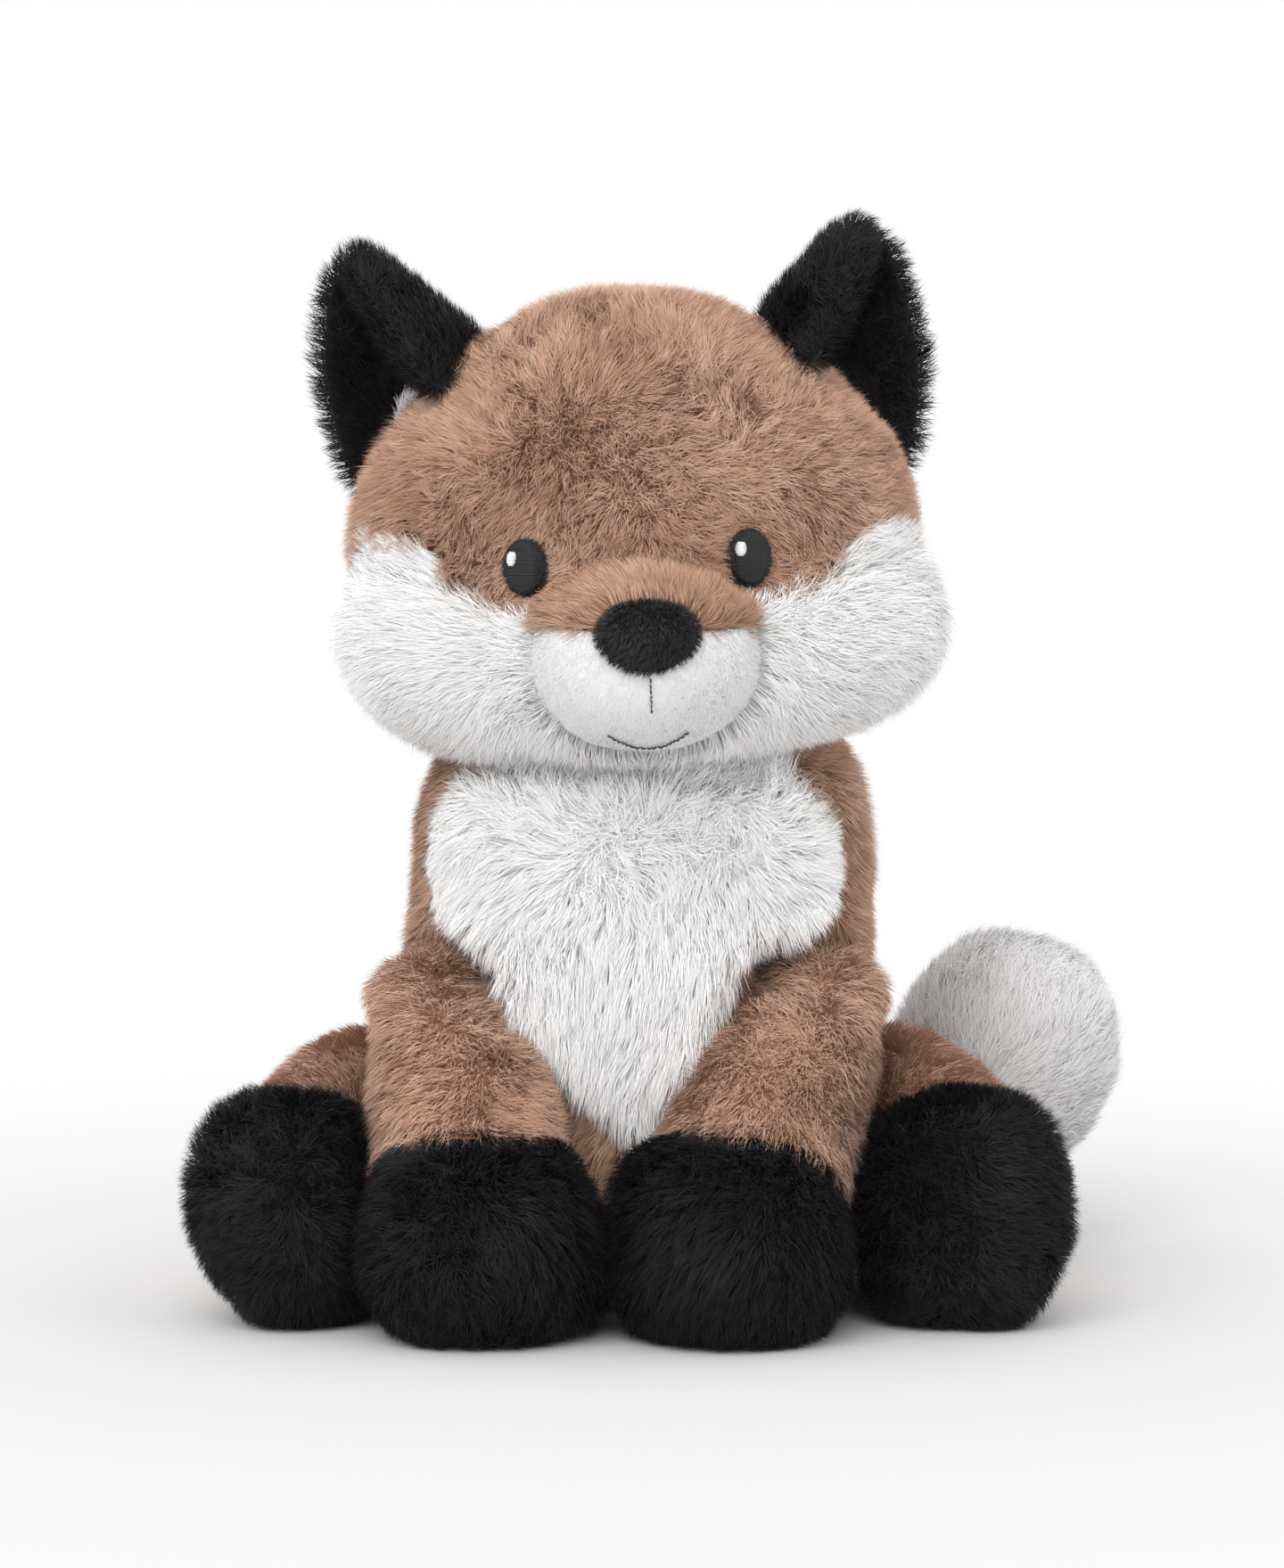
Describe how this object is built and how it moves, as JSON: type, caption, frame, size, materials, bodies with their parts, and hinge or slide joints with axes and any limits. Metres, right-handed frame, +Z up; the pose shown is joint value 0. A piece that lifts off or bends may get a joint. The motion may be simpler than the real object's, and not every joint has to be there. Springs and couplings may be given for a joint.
{
  "type": "plush fox",
  "caption": "Sitting stuffed toy fox with a turning, nodding head, folded ears, lifting legs and a curled tail.",
  "frame": {"origin": "on the ground under the middle of the stuffed body, on the flat cloth panel the toy sits on", "axes": "+Z up through the head, -Y the way the face looks, +X towards the toy's own left side"},
  "size_m": [0.2508, 0.2169, 0.2907],
  "materials": {
    "brown_plush": "long-pile warm brown plush, darker at the roots",
    "white_plush": "long-pile white plush",
    "white_velboa": "short smooth off-white pile",
    "black_plush": "black plush",
    "nose_plush": "short black pile",
    "grey_thread": "dark grey thread",
    "eye_thread": "charcoal satin stitch",
    "light_thread": "white satin stitch",
    "base_cloth": "plain woven backing cloth",
    "fibre_filling": "loose white polyester fibre",
    "pellet_cloth": "thin cloth bag of plastic pellets"
  },
  "bodies": {
    "torso": {"body_cover": "brown_plush", "body_filling": "fibre_filling", "pellet_bag": "pellet_cloth", "base_panel": "base_cloth", "chest_bib": "white_plush"},
    "neck": {"neck_seam_disc": "base_cloth"},
    "head": {"head_cover": "brown_plush", "head_filling": "fibre_filling", "cheek_left": "white_plush", "cheek_right": "white_plush", "muzzle_bridge": "brown_plush", "muzzle_bowl": "white_velboa", "nose": "nose_plush", "nose_stitch": "grey_thread", "mouth_stitch": "grey_thread", "eye_left": "eye_thread", "eye_right": "eye_thread", "eye_light_left": "light_thread", "eye_light_right": "light_thread"},
    "ear_left": {"ear_left": "black_plush"},
    "ear_right": {"ear_right": "black_plush"},
    "front_leg_left": {"front_leg_left": "brown_plush", "front_paw_left": "black_plush"},
    "front_leg_right": {"front_leg_right": "brown_plush", "front_paw_right": "black_plush"},
    "hind_leg_left": {"hind_leg_left": "brown_plush", "hind_foot_left": "black_plush"},
    "hind_leg_right": {"hind_leg_right": "brown_plush", "hind_foot_right": "black_plush"},
    "tail": {"tail_base": "brown_plush", "tail_tip": "white_plush"}
  },
  "joints": [
    {"name": "neck_turn", "type": "hinge", "parent": "torso", "child": "neck", "pos_m": [0.0036, 0.004, 0.118], "axis": [0, 0, 1], "range_deg": [-25, 25]},
    {"name": "neck_nod", "type": "hinge", "parent": "neck", "child": "head", "pos_m": [0.0036, 0.004, 0.118], "axis": [1, 0, 0], "range_deg": [-15, 4]},
    {"name": "ear_flop_left", "type": "hinge", "parent": "head", "child": "ear_left", "pos_m": [0.0512, 0.006, 0.24519], "axis": [-0.7372, 0, 0.6757], "range_deg": [0, 18]},
    {"name": "ear_flop_right", "type": "hinge", "parent": "head", "child": "ear_right", "pos_m": [-0.0507, 0.006, 0.24074], "axis": [-0.6755, 0, -0.7374], "range_deg": [0, 18]},
    {"name": "shoulder_left", "type": "hinge", "parent": "torso", "child": "front_leg_left", "pos_m": [0.0475, -0.026, 0.0865], "axis": [-1, 0, 0], "range_deg": [0, 45]},
    {"name": "shoulder_right", "type": "hinge", "parent": "torso", "child": "front_leg_right", "pos_m": [-0.0475, -0.026, 0.0865], "axis": [-1, 0, 0], "range_deg": [0, 45]},
    {"name": "hip_left", "type": "hinge", "parent": "torso", "child": "hind_leg_left", "pos_m": [0.0745, 0.01, 0.038], "axis": [-1, 0, 0], "range_deg": [0, 35]},
    {"name": "hip_right", "type": "hinge", "parent": "torso", "child": "hind_leg_right", "pos_m": [-0.0745, 0.01, 0.038], "axis": [-1, 0, 0], "range_deg": [0, 35]},
    {"name": "tail_swing", "type": "hinge", "parent": "torso", "child": "tail", "pos_m": [0.012, 0.063, 0.036], "axis": [0, 0, 1], "range_deg": [0, 40]}
  ]
}
